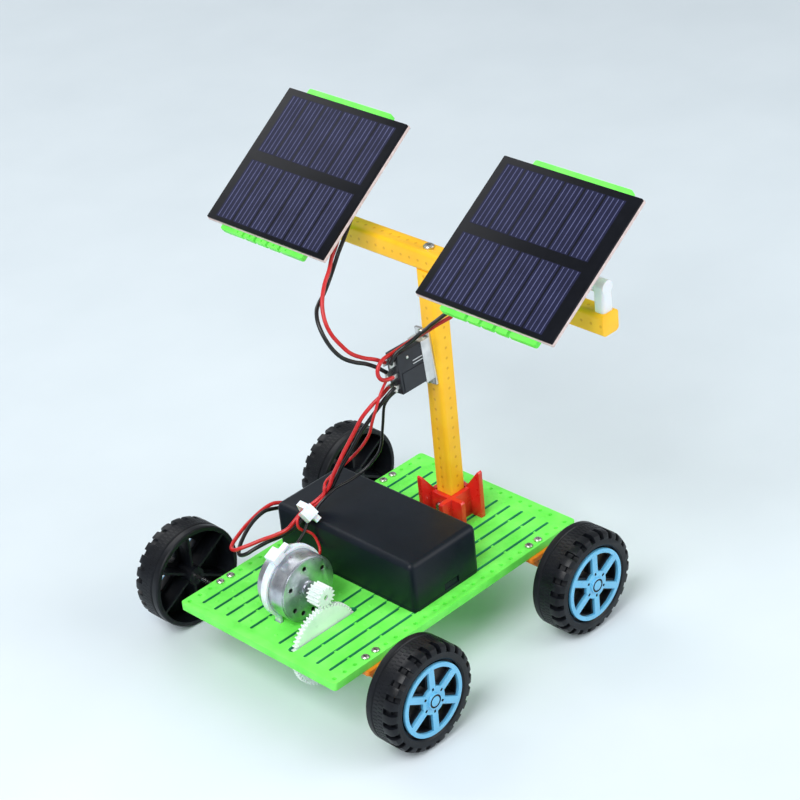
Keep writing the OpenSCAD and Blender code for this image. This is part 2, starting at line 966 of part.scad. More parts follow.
module switch_body() {
    color([0.07, 0.07, 0.1])
    at_switch()
        difference() {
            translate([-frame_thick - body_depth, -2.9, -7.75])
                cube([body_depth, 5.8, 15.5]);
            translate([-frame_thick - 7, 0, 0])
                rotate([0, 90, 0])
                    cylinder(r = 1.35, h = 8, $fn = 32);
        }
}

module switch_plunger() {
    color([0.15, 0.15, 0.16])
    translate([switch_face_x - frame_thick - 3.6, switch_y, switch_z])
        rotate([0, 90, 0]) {
            cylinder(r = 1.3, h = 15.8, $fn = 32);
            translate([0, 0, 15.8 - eps])
                cylinder(r1 = 1.3, r2 = 0.9, h = 0.5, $fn = 32);
        }
}

lug_length = 3;

module switch_lugs() {
    color("silver")
    at_switch()
        for (row = [-1, 0, 1], side = [-1, 1])
            translate([-frame_thick - body_depth - lug_length, side * 1.6 - 0.3, row * 4.6 - 0.8])
                cube([lug_length, 0.6, 1.6]);
}

module switch_screws() {
    color("gainsboro")
    at_switch()
        for (s = [-1, 1])
            translate([-frame_thick, 0, s * ear_spacing])
                rotate([0, -90, 0])
                    pan_screw(0.8, 5.5, 1.38, 1, $fn = 32);
}

// ---- wires ---------------------------------------------------------------------

wire_r = 0.75;
wire_sides = 8;

// Catmull-Rom curve through the points p, with n rings between two of them.
function curve_point(p, i, t) =
    let (a = p[max(i - 1, 0)], b = p[i], c = p[i + 1], d = p[min(i + 2, len(p) - 1)])
    0.5 * (2 * b + (c - a) * t + (2 * a - 5 * b + 4 * c - d) * t * t + (3 * b - a - 3 * c + d) * t * t * t);

function curve(p, n) = [
    for (i = [0 : len(p) - 2], k = [0 : n - 1]) curve_point(p, i, k / n),
    p[len(p) - 1]
];

function unit(v) = v / norm(v);

function direction(c, i) = unit(c[min(i + 1, len(c) - 1)] - c[max(i - 1, 0)]);

// Side vectors carried along the curve, so that the tube doesn't twist.
function sides(c, i, before) = i == len(c)
    ? []
    : let (d = direction(c, i), s = unit(before - d * (before * d)))
      concat([s], sides(c, i + 1, s));

// Round tube of the given radius that follows the points p.
module tube(p, n, r) {
    c = curve(p, n);
    d0 = direction(c, 0);
    s = sides(c, 0, abs(d0[2]) < 0.9 ? [0, 0, 1] : [1, 0, 0]);
    m = wire_sides;
    rings = len(c);
    points = [
        for (i = [0 : rings - 1])
            let (d = direction(c, i), u = s[i], v = cross(d, u))
            for (k = [0 : m - 1]) c[i] + r * (cos(360 / m * k) * u + sin(360 / m * k) * v)
    ];
    faces = concat(
        [[for (k = [0 : m - 1]) k]],
        [for (i = [0 : rings - 2], k = [0 : m - 1])
            let (k2 = (k + 1) % m, a = i * m)
            [a + k, a + m + k, a + m + k2, a + k2]],
        [[for (k = [m - 1 : -1 : 0]) (rings - 1) * m + k]]
    );
    polyhedron(points, faces, convexity = 6);
}

// Routes, each from the part that it leaves to the part that it is soldered to.
left_red_route = [
    [27.5, 28.5, 149.2], [24.5, 28.5, 145], [22, 28, 141], [18.5, 26.5, 138.5], [15, 25, 136.5],
    [11.5, 23, 134], [7.5, 21.5, 131], [4, 19.5, 128], [1.5, 17.5, 124.5], [0, 15, 120.5],
    [0, 12.5, 116.5], [1.5, 10, 112.5], [3.5, 7.5, 109], [7.5, 5.5, 106], [11.5, 4, 104],
    [15.6, 3.6, 101]
];
left_black_route = [
    [27.5, 25, 149.2], [24.5, 25, 145], [21.5, 25, 141], [18, 24.5, 137.5], [15, 24.5, 133],
    [11.5, 24, 129], [7, 22, 127], [2.5, 20.5, 125], [-0.5, 18.5, 124], [-3, 15.5, 121.5],
    [-4, 12, 117.5], [-3, 9.5, 113], [-0.5, 7.5, 109], [3.5, 6, 106], [8, 5, 103.5], [12, 4, 100.5],
    [15.6, 3.4, 97]
];
right_red_route = [
    [27.6, -29, 149.6], [24.6, -29.6, 145.2], [22.3, -29.7, 140.4], [21.4, -28.9, 135.2],
    [21.8, -27.3, 130.1], [22.9, -24.9, 125.7], [23.3, -21.1, 122.6], [23.5, -16.8, 119.4],
    [24.4, -12.6, 116.1], [25.5, -8.5, 112.9], [25.4, -4.2, 109.7], [24, -0.9, 106.9],
    [21.7, 0.7, 105.4], [17.8, 1.3, 104.7], [13.5, 1.3, 104.5], [10.8, 1.1, 103.5], [9.1, 0.8, 101.5],
    [9.1, 0.5, 99.2], [10.6, 0.3, 97.3], [13, 0.1, 96.4], [15.6, 0, 96.2]
];
right_black_route = [
    [27.6, -31.4, 149.6], [24.75, -32, 145.75], [22, -32.25, 141.5], [20.25, -31.5, 137],
    [19.75, -29.5, 132.5], [20.25, -26.25, 129], [20.75, -22.5, 125.75], [21.5, -18.75, 122.5],
    [22, -15, 119.25], [22.75, -11.5, 116], [23, -7.75, 112.75], [22.25, -4.75, 109.75],
    [20.5, -2.5, 107.5], [17.75, -1, 105.75], [16, -0.25, 103.75], [15.4, 0.4, 101.4]
];
battery_red_route = [
    [15.6, 2.8, 91.3], [11, 2.5, 89.75], [7.25, 4, 87], [4, 6, 83], [2, 7.75, 78.5],
    [0.25, 9.75, 73.75], [-1.5, 11.75, 69], [-3.25, 13.5, 64.25], [-4.75, 15.5, 59.25], [-6, 16.75, 55],
    [-8.25, 18.25, 51.75], [-12.25, 20.25, 49], [-16.5, 20.75, 48], [-20, 21.5, 45.75],
    [-23, 22.75, 43], [-26.5, 25.5, 41.25], [-29.75, 29.25, 39.5], [-33.75, 32.75, 37.75],
    [-36.25, 35, 36.75], [-37, 37.25, 35.5], [-36.5, 39.75, 35], [-34.5, 41.5, 35],
    [-30.75, 43.25, 35.25], [-25.75, 44.75, 36], [-20.5, 45.5, 37], [-15.25, 45.25, 38.5],
    [-11.25, 44, 39.5], [-8, 42.75, 38.75], [-6, 41.25, 37.5], [-4.75, 38.75, 36.75], [-4.6, 35, 36.6]
];
battery_black_route = [
    [15.6, -0.3, 92.1], [13.5, 0, 90.9], [11.5, 1.1, 88.8], [9.4, 3.4, 84.8], [7.1, 5.7, 80.5],
    [4.9, 8, 76.1], [2.9, 9.9, 71.5], [1, 11.9, 66.8], [-1.3, 13.8, 62.3], [-2.9, 15.6, 57.5],
    [-5.2, 17.2, 52.9], [-8.6, 18.7, 49.3], [-12.5, 19.1, 47.7], [-15, 19.1, 47.2],
    [-17.2, 19.6, 45.9], [-18.4, 20.8, 43.8], [-20.2, 22.9, 41.4], [-23.5, 25.7, 39.2],
    [-28.2, 28.2, 38.2], [-33, 30.3, 36.9], [-35.5, 31.8, 35.6], [-36.5, 33.8, 34.4],
    [-36.1, 36.2, 33.6], [-34.5, 38.2, 33.6], [-31.5, 40.2, 34.5], [-26.8, 41.9, 36.5],
    [-21.8, 42.7, 38.4], [-16.9, 42.8, 39.4], [-13.3, 42.9, 38.6], [-8.8, 43.3, 36.8], [-5, 42.9, 36.2],
    [-2.7, 41.5, 36.3], [-1.5, 39, 36.6], [-1.4, 35, 36.6]
];
motor_red_route = [
    [15.6, 3, 95], [11.1, 1.9, 92.1], [8.6, 1.6, 89.1], [7.4, 2.4, 85.1], [6.9, 4.2, 80],
    [7, 6.2, 74.9], [6.1, 8.8, 70.1], [4.7, 11.8, 65.8], [3, 15.1, 61.8], [0.1, 17.8, 58.4],
    [-3.7, 18.7, 56.7], [-6.2, 18.2, 56.2], [-7.9, 17.3, 55.1], [-8.7, 16.9, 53.1], [-9.9, 17.1, 51.1],
    [-12.2, 17.7, 49.8], [-16.3, 18.1, 49.4], [-19.1, 18.3, 49.6], [-21.1, 18.1, 49],
    [-22.3, 17.7, 47.2], [-22, 17.4, 45.1], [-20.6, 17.2, 43.4], [-18.9, 16.3, 42.3], [-17.5, 15, 40.4],
    [-17.4, 13.3, 37.8], [-18.1, 11.9, 35.7], [-19.8, 11, 34.5], [-22.1, 10.4, 34.3], [-25.6, 10.8, 35.2],
    [-28.8, 12.2, 37], [-31.8, 13.2, 39], [-34.4, 12.4, 40.8], [-35.5, 10.2, 41.6], [-35.6, 7.4, 41.65]
];
motor_black_route = [
    [15.6, -0.5, 90.5], [13.5, 1, 88.5], [12, 2, 86], [12, 3, 83], [12.5, 4.5, 77.5], [13, 6, 72.5],
    [13.5, 7.5, 67], [13, 9.5, 62], [10, 11.5, 58], [6, 13, 55.5], [1, 14, 54.5], [-4.5, 15, 54],
    [-9, 15.5, 52.5], [-13.5, 16.5, 49.5], [-17.5, 17, 46], [-21, 16, 43.5], [-25, 15, 42],
    [-30, 14, 41.5], [-35.5, 14, 40.5], [-40.5, 12.5, 41], [-43.5, 11.5, 41.5], [-45.2, 9.8, 41.65],
    [-45.6, 7.4, 41.65]
];

module panel_wire_left_red() {
    color("red")
        tube(left_red_route, 3, wire_r);
}

module panel_wire_left_black() {
    color([0.08, 0.08, 0.08])
        tube(left_black_route, 3, wire_r);
}

module panel_wire_right_red() {
    color("red")
        tube(right_red_route, 3, wire_r);
}

module panel_wire_right_black() {
    color([0.08, 0.08, 0.08])
        tube(right_black_route, 3, wire_r);
}

module battery_wire_red() {
    color("red")
        tube(battery_red_route, 2, wire_r);
}

module battery_wire_black() {
    color([0.08, 0.08, 0.08])
        tube(battery_black_route, 2, wire_r);
}

module motor_wire_red() {
    color("red")
        tube(motor_red_route, 2, 0.55);
}

module motor_wire_black() {
    color([0.08, 0.08, 0.08])
        tube(motor_black_route, 3, 0.55);
}

// Cable tie round the four wires at the battery case's edge, with its locking head in front.
module wire_tie() {
    color("white")
    translate([-15.6, 18.75, 48.1])
        rotate([0, -20, 0]) {
            translate([0, 0, 0.65])
                difference() {
                    cube([2.4, 7, 5.9], center = true);
                    cube([4, 6, 5.1], center = true);
                }
            rotate([47, 0, 0]) {
                translate([-2, 0, 4.85])
                    cube([5, 4.6, 3.7], center = true);
                translate([-0.9, -3.3, 4.2])
                    cube([2.4, 2.6, 1], center = true);
            }
        }
}

base_plate();
bracket_front_left();
bracket_front_right();
bracket_rear_left();
bracket_rear_right();
bracket_screws();
battery_case();
battery_cover();
battery_cells();
battery_contacts();
motor_can();
motor_end_cap();
motor_tie();
motor_shaft();
motor_core();
pinion();
front_axle();
drive_gear();
rear_axle();
wheel_front_left();
wheel_front_right();
wheel_rear_left();
wheel_rear_right();
hubcap_front_left();
hubcap_front_right();
hubcap_rear_left();
hubcap_rear_right();
mast_foot();
foot_screws();
mast();
crossbar();
crossbar_screw();
post_left();
post_right();
post_screws();
tilt_screws();
arm_left();
arm_right();
arm_screw_left();
arm_screw_right();
back_plate_left();
back_plate_right();
panel_board_left();
panel_board_right();
panel_cover_left();
panel_cover_right();
switch_frame();
switch_body();
switch_plunger();
switch_lugs();
switch_screws();
panel_wire_left_red();
panel_wire_left_black();
panel_wire_right_red();
panel_wire_right_black();
battery_wire_red();
battery_wire_black();
motor_wire_red();
motor_wire_black();
wire_tie();
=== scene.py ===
"""Solar car kit: the looks of the model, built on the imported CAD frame.

Metres, in the CAD frame: the origin is on the ground under the deck, -X is the motor end and +Z is up.
"""
import json
import math

import bmesh
import bpy
from mathutils import Matrix, Vector
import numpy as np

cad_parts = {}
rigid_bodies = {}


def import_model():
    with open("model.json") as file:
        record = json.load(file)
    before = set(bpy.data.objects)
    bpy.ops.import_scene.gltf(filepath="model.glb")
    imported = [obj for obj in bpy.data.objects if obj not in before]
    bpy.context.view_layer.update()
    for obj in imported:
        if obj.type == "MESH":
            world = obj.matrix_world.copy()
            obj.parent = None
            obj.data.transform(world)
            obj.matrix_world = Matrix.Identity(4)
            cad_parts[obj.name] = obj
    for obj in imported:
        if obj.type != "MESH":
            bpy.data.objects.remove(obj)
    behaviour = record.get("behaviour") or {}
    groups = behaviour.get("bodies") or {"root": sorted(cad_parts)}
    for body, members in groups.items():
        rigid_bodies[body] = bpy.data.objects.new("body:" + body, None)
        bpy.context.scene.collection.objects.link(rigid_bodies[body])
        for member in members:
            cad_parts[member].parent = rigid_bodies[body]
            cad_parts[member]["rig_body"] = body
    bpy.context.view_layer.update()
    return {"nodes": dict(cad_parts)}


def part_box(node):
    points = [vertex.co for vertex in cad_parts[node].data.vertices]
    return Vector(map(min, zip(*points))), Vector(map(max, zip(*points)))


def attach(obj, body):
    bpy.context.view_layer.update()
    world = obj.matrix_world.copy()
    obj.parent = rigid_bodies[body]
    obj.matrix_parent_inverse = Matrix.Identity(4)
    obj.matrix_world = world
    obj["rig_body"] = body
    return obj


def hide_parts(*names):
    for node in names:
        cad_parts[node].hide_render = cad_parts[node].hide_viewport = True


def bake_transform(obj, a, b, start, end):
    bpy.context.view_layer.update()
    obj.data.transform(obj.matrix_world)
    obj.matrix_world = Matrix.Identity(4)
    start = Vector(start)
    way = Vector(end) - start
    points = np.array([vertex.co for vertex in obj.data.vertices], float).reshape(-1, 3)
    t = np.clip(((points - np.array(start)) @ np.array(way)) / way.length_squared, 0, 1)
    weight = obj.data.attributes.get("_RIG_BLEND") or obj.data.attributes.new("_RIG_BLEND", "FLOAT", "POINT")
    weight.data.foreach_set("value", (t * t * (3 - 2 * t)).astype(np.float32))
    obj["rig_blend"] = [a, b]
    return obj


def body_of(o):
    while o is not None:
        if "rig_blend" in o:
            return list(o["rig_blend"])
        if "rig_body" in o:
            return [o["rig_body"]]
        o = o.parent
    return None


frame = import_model()

MM = 0.001
NODES = frame["nodes"]
SIDES = (("left", 1), ("right", -1))

# Places and sizes of the car, in millimetres unless the name says otherwise.
DECK_LENGTH = 126
DECK_WIDTH = 80
DECK_TOP = 26
SLOT_PITCH = 6.34
FIRST_SLOT_Y = 7.4
SLOTS_PER_SIDE = 5
SLOT_AREA = (-59, 56.5, 34.5)  # front end, rear end and half width of the part with slots
FRONT_AXLE_X = -43
REAR_AXLE_X = 42
WHEEL_R = 20
WHEEL_INNER_Y = 54
MAST_X = 38.9
CROSSBAR_Z = 134
PIVOT_HEIGHT = 147
PANEL_Y = 53.3
PANEL_TILT = {"left": math.radians(35.5), "right": math.radians(33.5)}
PANEL_FACE = 11.4
WIRE_D = 1.5
THIN_WIRE_D = 1.1


# ---- camera -----------------------------------------------------------------------

def place_camera():
    """Camera at the photograph's angle."""
    place = Vector((-0.4816, -0.5384, 0.5147))
    forward = Vector((0.58715, 0.63311, -0.50440)).normalized()
    roll = math.radians(-5.82)
    level = forward.cross(Vector((0, 0, 1))).normalized()
    upright = level.cross(forward)
    right = level * math.cos(roll) + upright * math.sin(roll)
    up = right.cross(forward)
    data = bpy.data.cameras.new("camera")
    data.sensor_width = 36
    data.lens = 106.98
    data.clip_start = 0.01
    camera = bpy.data.objects.new("camera", data)
    bpy.context.scene.collection.objects.link(camera)
    turn = Matrix((right, up, -forward)).transposed().to_4x4()
    camera.matrix_world = Matrix.Translation(place) @ turn
    bpy.context.scene.camera = camera


place_camera()


# ---- materials --------------------------------------------------------------------

class Paint:
    """Small helper that builds a node material around one Principled shader."""

    def __init__(self, name, rough=0.5, metallic=0.0, coat=0.0, coat_rough=0.1, specular=0.5,
                 subsurface=0.0):
        self.material = bpy.data.materials.new(name)
        self.material.use_nodes = True
        self.tree = self.material.node_tree
        self.shader = next(n for n in self.tree.nodes if n.type == "BSDF_PRINCIPLED")
        values = {"Roughness": rough, "Metallic": metallic, "Coat Weight": coat,
                  "Coat Roughness": coat_rough, "Specular IOR Level": specular,
                  "Subsurface Weight": subsurface}
        for socket, value in values.items():
            self.shader.inputs[socket].default_value = value
        self.shader.inputs["Subsurface Scale"].default_value = 1.5 * MM
        self.place = self.tree.nodes.new("ShaderNodeTexCoord").outputs["Object"]
        self.height = None

    def node(self, kind, **inputs):
        made = self.tree.nodes.new(kind)
        for name, value in inputs.items():
            self.feed(made.inputs[name.replace("_", " ")], value)
        return made

    def feed(self, socket, value):
        if isinstance(value, bpy.types.NodeSocket):
            self.tree.links.new(value, socket)
        else:
            socket.default_value = value

    def math(self, kind, a, b=0.0):
        made = self.tree.nodes.new("ShaderNodeMath")
        made.operation = kind
        for socket, value in zip(made.inputs, (a, b)):
            self.feed(socket, value)
        return made.outputs[0]

    def axes(self, shift):
        """X, Y and Z sockets, measured from a shift in metres."""
        mapping = self.node("ShaderNodeMapping", Vector=self.place)
        mapping.vector_type = "TEXTURE"
        mapping.inputs["Location"].default_value = shift
        split = self.node("ShaderNodeSeparateXYZ", Vector=mapping.outputs[0])
        return split.outputs

    def noise(self, size_mm, detail=3.0, stretch=(1, 1, 1)):
        """Noise with features of the given size in millimetres."""
        mapping = self.node("ShaderNodeMapping", Vector=self.place)
        mapping.inputs["Scale"].default_value = stretch
        made = self.node("ShaderNodeTexNoise", Vector=mapping.outputs[0], Scale=1 / (size_mm * MM),
                         Detail=detail)
        return made.outputs[0]

    def ramp(self, factor, colours, low=0.3, high=0.7):
        made = self.node("ShaderNodeValToRGB", Fac=factor)
        stops = made.color_ramp.elements
        stops[0].position = low
        stops[1].position = high
        for stop, colour in zip(stops, colours):
            stop.color = (*colour, 1)
        return made.outputs[0]

    def mix(self, factor, a, b):
        made = self.tree.nodes.new("ShaderNodeMix")
        made.data_type = "RGBA"
        self.feed(made.inputs[0], factor)
        for index, value in ((6, a), (7, b)):
            self.feed(made.inputs[index], value if isinstance(value, bpy.types.NodeSocket) else (*value, 1))
        return made.outputs[2]

    def colour(self, socket):
        self.feed(self.shader.inputs["Base Color"], socket)

    def rough_between(self, factor, low, high):
        made = self.node("ShaderNodeMapRange", Value=factor)
        made.inputs["To Min"].default_value = low
        made.inputs["To Max"].default_value = high
        self.feed(self.shader.inputs["Roughness"], made.outputs[0])

    def bump(self, height, strength, depth_mm):
        """Adds a layer of bump on top of the ones before it."""
        made = self.node("ShaderNodeBump", Height=height, Strength=strength, Distance=depth_mm * MM)
        if self.height:
            self.tree.links.new(self.height, made.inputs["Normal"])
        self.height = made.outputs[0]
        for name in ("Normal", "Coat Normal"):
            if name == "Normal" or self.shader.inputs["Coat Weight"].default_value:
                self.feed(self.shader.inputs[name], self.height)


def plastic(name, dark, light, rough=0.4, spread=0.1, patch=9, grain=0.25, grain_depth=0.02,
            wave=0.05, **shader):
    """Moulded plastic: soft colour drift, fine mould grain and the slight waviness of shrinkage."""
    p = Paint(name, rough=rough, **shader)
    p.colour(p.ramp(p.noise(patch), (dark, light)))
    p.rough_between(p.noise(3.5, 4), rough - spread, rough + spread)
    p.bump(p.noise(12, 1), 0.5, wave)
    p.bump(p.noise(grain, 2), 0.35, grain_depth)
    return p


def metal(name, dark, light, rough=0.28, stretch=(1, 1, 1), grain=0.3, depth=0.006):
    """Plated or ground steel with fine drawn scratches and faint stains."""
    p = Paint(name, rough=rough, metallic=1.0)
    p.colour(p.ramp(p.noise(4, 4), (dark, light)))
    p.rough_between(p.noise(grain, 3, stretch), rough - 0.1, rough + 0.12)
    p.bump(p.noise(grain, 3, stretch), 0.4, depth)
    return p


GREEN = ((0.12, 0.74, 0.07), (0.19, 0.88, 0.12))
# strength of the painted glow given to the green plastic
PAINTED_GLOW = 0.1
YELLOW = ((0.95, 0.47, 0.014), (1.0, 0.58, 0.026))
MAST_PITCH = 4.2


def dimple_rows(p, along, across, pitch_mm, radius_mm):
    """Height field of round dimples in a row: 1 on the surface, 0 in a dimple."""
    step = p.math("MULTIPLY", along, 1 / (pitch_mm * MM))
    near = p.math("SUBTRACT", p.math("FRACT", step), 0.5)
    near = p.math("MULTIPLY", near, pitch_mm)
    side = p.math("MULTIPLY", across, 1 / MM)
    away = p.math("SQRT", p.math("ADD", p.math("MULTIPLY", near, near), p.math("MULTIPLY", side, side)))
    edge = p.node("ShaderNodeMapRange", Value=away)
    edge.inputs["From Min"].default_value = radius_mm * 0.7
    edge.inputs["From Max"].default_value = radius_mm * 1.15
    return edge.outputs[0]


def beam_paint(name, shift_mm, along):
    p = plastic(name, *YELLOW, rough=0.4, patch=14, specular=0.3, subsurface=0.08)
    x, y, z = p.axes([v * MM for v in shift_mm])
    length, side_a, side_b = (z, x, y) if along == "z" else (y, x, z)
    across = p.math("MINIMUM", p.math("ABSOLUTE", side_a), p.math("ABSOLUTE", side_b))
    rows = dimple_rows(p, length, across, MAST_PITCH, 0.6)
    base = p.shader.inputs["Base Color"].links[0].from_socket
    # painted shade: each dimple is coloured a darker yellow for the shade inside it; the bump below shapes it
    p.colour(p.mix(rows, (0.78, 0.37, 0.009), base))
    p.bump(rows, 0.4, 0.18)
    return p


def glowing_plastic(name, colours, **look):
    """Plastic with a painted glow: an emission in its own colour that gives off light whatever light falls on
    it.
    """
    p = plastic(name, *colours, **look)
    base = p.shader.inputs["Base Color"].links[0].from_socket
    # painted glow: emission in the plastic's base colour
    p.feed(p.shader.inputs["Emission Color"], base)
    p.shader.inputs["Emission Strength"].default_value = PAINTED_GLOW
    return p


def gear_paint(name):
    p = plastic(name, (0.74, 0.84, 0.80), (0.86, 0.93, 0.91), rough=0.3, patch=6, subsurface=0.45, coat=0.2)
    p.shader.inputs["Subsurface Radius"].default_value = (1.0, 1.2, 1.1)
    return p


def wheel_paint(name):
    return plastic(name, (0.004, 0.005, 0.007), (0.007, 0.0085, 0.012), rough=0.38, spread=0.12,
                   patch=5, grain=0.4, grain_depth=0.03, specular=0.24)


def case_paint(name):
    return plastic(name, (0.003, 0.006, 0.011), (0.005, 0.009, 0.016), rough=0.42, spread=0.07,
                   patch=16, grain=0.28, grain_depth=0.035, wave=0.09, specular=0.22)


def can_paint(name):
    """Nickel-plated motor can: scratches run round it, as it was drawn."""
    p = metal(name, (0.40, 0.42, 0.46), (0.62, 0.64, 0.68), rough=0.3, stretch=(0.25, 3.0, 0.25), grain=0.5)
    p.shader.inputs["Anisotropic"].default_value = 0.35
    return p


def resin_paint(name, dark, light, rough=0.16):
    p = Paint(name, rough=rough, coat=0.03, coat_rough=0.12, specular=0.12)
    p.colour(p.ramp(p.noise(7, 3), (dark, light)))
    p.rough_between(p.noise(2, 4), rough - 0.05, rough + 0.12)
    p.bump(p.noise(5, 2), 0.4, 0.03)
    return p


def vinyl(name, dark, light):
    return plastic(name, dark, light, rough=0.3, spread=0.08, patch=4, grain=0.3, grain_depth=0.02,
                   coat=0.12, coat_rough=0.15, specular=0.35)


PAINTS = {
    "green": glowing_plastic("green_plastic", GREEN, rough=0.42, subsurface=0.08, specular=0.3,
                         wave=0.12, grain=0.5, grain_depth=0.03),
    # painted shade: a darker green for the slot walls, standing in for the shade inside the slots
    "slot": plastic("green_painted_slot_shade", (0.026, 0.31, 0.15), (0.04, 0.40, 0.19), rough=0.6, specular=0.15),
    "orange": plastic("orange_plastic", (0.78, 0.19, 0.008), (0.88, 0.26, 0.014), subsurface=0.15),
    "mast": beam_paint("mast_yellow", (MAST_X, 0, 0), "z"),
    "crossbar": beam_paint("crossbar_yellow", (MAST_X, 0, CROSSBAR_Z), "y"),
    "red": plastic("red_plastic", (0.62, 0.014, 0.010), (0.74, 0.026, 0.016), rough=0.3, coat=0.3,
                   subsurface=0.15),
    "white": plastic("white_plastic", (0.72, 0.77, 0.80), (0.82, 0.85, 0.86), rough=0.34, subsurface=0.3),
    "nylon": plastic("cable_tie", (0.70, 0.76, 0.82), (0.82, 0.87, 0.90), rough=0.3, subsurface=0.4,
                     coat=0.2, patch=3),
    "gear": gear_paint("gear_plastic"),
    "wheel": wheel_paint("wheel_black"),
    "case": case_paint("black_plastic"),
    "switch": plastic("switch_black", (0.006, 0.007, 0.011), (0.011, 0.013, 0.02), rough=0.33, patch=4),
    "hubcap": plastic("hubcap_blue", (0.125, 0.45, 0.71), (0.16, 0.52, 0.79), rough=0.3, patch=8, coat=0.35,
                      coat_rough=0.1, subsurface=0.1),
    "hub_mark": plastic("hub_mark", (0.008, 0.01, 0.013), (0.014, 0.017, 0.02), rough=0.5, patch=2),
    "can": can_paint("motor_steel"),
    "screw": metal("steel_screws", (0.42, 0.41, 0.39), (0.70, 0.69, 0.66), rough=0.3),
    # painted shade: near-black steel for the screws' cross recesses
    "recess": metal("screw_recess_painted_shade", (0.02, 0.02, 0.02), (0.05, 0.05, 0.05), rough=0.5),
    "axle": metal("axle_steel", (0.48, 0.48, 0.47), (0.66, 0.66, 0.65), rough=0.22, stretch=(1, 0.1, 1)),
    "spring": metal("spring_steel", (0.5, 0.5, 0.48), (0.7, 0.7, 0.67)),
    "frame": metal("switch_steel", (0.56, 0.57, 0.57), (0.78, 0.78, 0.77), rough=0.34),
    "tin": metal("solder_lug", (0.5, 0.5, 0.48), (0.76, 0.75, 0.72), rough=0.36, grain=0.2, depth=0.02),
    "copper": metal("copper_winding", (0.42, 0.14, 0.05), (0.62, 0.27, 0.11), rough=0.3, stretch=(1, 6, 1)),
    "wrap": plastic("cell_wrap", (0.04, 0.14, 0.36), (0.07, 0.2, 0.45), rough=0.3, coat=0.3),
    "board": plastic("board_pink", (0.60, 0.47, 0.45), (0.74, 0.62, 0.60), rough=0.6, patch=2, grain=0.15),
    "resin": resin_paint("cell_resin", (0.0018, 0.0026, 0.005), (0.003, 0.004, 0.0075), rough=0.3),
    "cell": resin_paint("cell_silicon", (0.0062, 0.0075, 0.030), (0.0095, 0.0115, 0.043), rough=0.3),
    "grid": resin_paint("cell_grid", (0.075, 0.082, 0.18), (0.115, 0.125, 0.25), rough=0.35),
    "wire_red": vinyl("wire_red", (0.50, 0.012, 0.014), (0.62, 0.024, 0.028)),
    "wire_black": vinyl("wire_black", (0.006, 0.006, 0.007), (0.013, 0.013, 0.015)),
}


def paint(obj, *names):
    """The materials of a piece, in the order of its faces' material indices."""
    for name in names:
        obj.data.materials.append(PAINTS[name].material)


# ---- mesh helpers -----------------------------------------------------------------

def new_object(name, bm, smooth_angle=35):
    """Object of a finished bmesh, smooth except at edges sharper than the angle."""
    limit = math.radians(smooth_angle)
    bmesh.ops.recalc_face_normals(bm, faces=bm.faces)
    for face in bm.faces:
        face.smooth = True
    for edge in bm.edges:
        edge.smooth = len(edge.link_faces) == 2 and edge.calc_face_angle(0) < limit
    mesh = bpy.data.meshes.new(name)
    bm.to_mesh(mesh)
    bm.free()
    obj = bpy.data.objects.new(name, mesh)
    bpy.context.scene.collection.objects.link(obj)
    return obj


def softened(node, width_mm, segments=2):
    """Copy of a CAD node with its edges rounded as moulding or pressing leaves them; it replaces the node."""
    source = NODES[node]
    bm = bmesh.new()
    bm.from_mesh(source.data)
    bmesh.ops.remove_doubles(bm, verts=bm.verts, dist=2e-6)
    bmesh.ops.dissolve_limit(bm, angle_limit=math.radians(0.6), verts=bm.verts, edges=bm.edges)
    bmesh.ops.recalc_face_normals(bm, faces=bm.faces)
    if width_mm:
        sharp = [e for e in bm.edges if len(e.link_faces) == 2 and e.calc_face_angle(0) > math.radians(38)]
        bmesh.ops.bevel(bm, geom=sharp, offset=width_mm * MM, segments=segments, profile=0.6, affect="EDGES",
                        clamp_overlap=True, loop_slide=True)
    obj = new_object(node + "_finished", bm, 32)
    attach(obj, body_of(source)[0])
    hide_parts(node)
    return obj


def mark_faces(obj, test, index=1):
    """Gives the faces whose normal and corners pass the test another of the piece's materials."""
    for face in obj.data.polygons:
        if test(face.normal, [obj.data.vertices[i].co / MM for i in face.vertices]):
            face.material_index = index


def islands(mesh):
    """Lists of the mesh's faces, one list for each separate lump."""
    bm = bmesh.new()
    bm.from_mesh(mesh)
    bm.faces.ensure_lookup_table()
    seen = set()
    found = []
    for start in bm.faces:
        if start.index in seen:
            continue
        lump, todo = [], [start]
        seen.add(start.index)
        while todo:
            face = todo.pop()
            lump.append(face.index)
            for edge in face.edges:
                for other in edge.link_faces:
                    if other.index not in seen:
                        seen.add(other.index)
                        todo.append(other)
        found.append(lump)
    bm.free()
    return found


def paint_recess_shade(obj, axis):
    """Marks the cross recess in each screw head that faces the axis, for painted shade: a near-black steel
    standing in for the shade in the recess.
    """
    axis = Vector(axis)
    faces = obj.data.polygons
    for lump in islands(obj.data):
        top = max(faces[i].center.dot(axis) for i in lump)
        for i in lump:
            depth = top - faces[i].center.dot(axis)
            if faces[i].normal.dot(axis) > 0.95 and 0.15 * MM < depth < 1.2 * MM:
                faces[i].material_index = 1


def box_into(bm, size, place):
    """Adds a box, sized in millimetres, at a 4x4 place in millimetres."""
    bmesh.ops.create_cube(bm, size=1, matrix=place @ Matrix.Diagonal((*size, 1)))


def finish_mm(bm):
    """Millimetres to metres."""
    bmesh.ops.scale(bm, vec=(MM, MM, MM), verts=bm.verts)


# ---- wires ------------------------------------------------------------------------

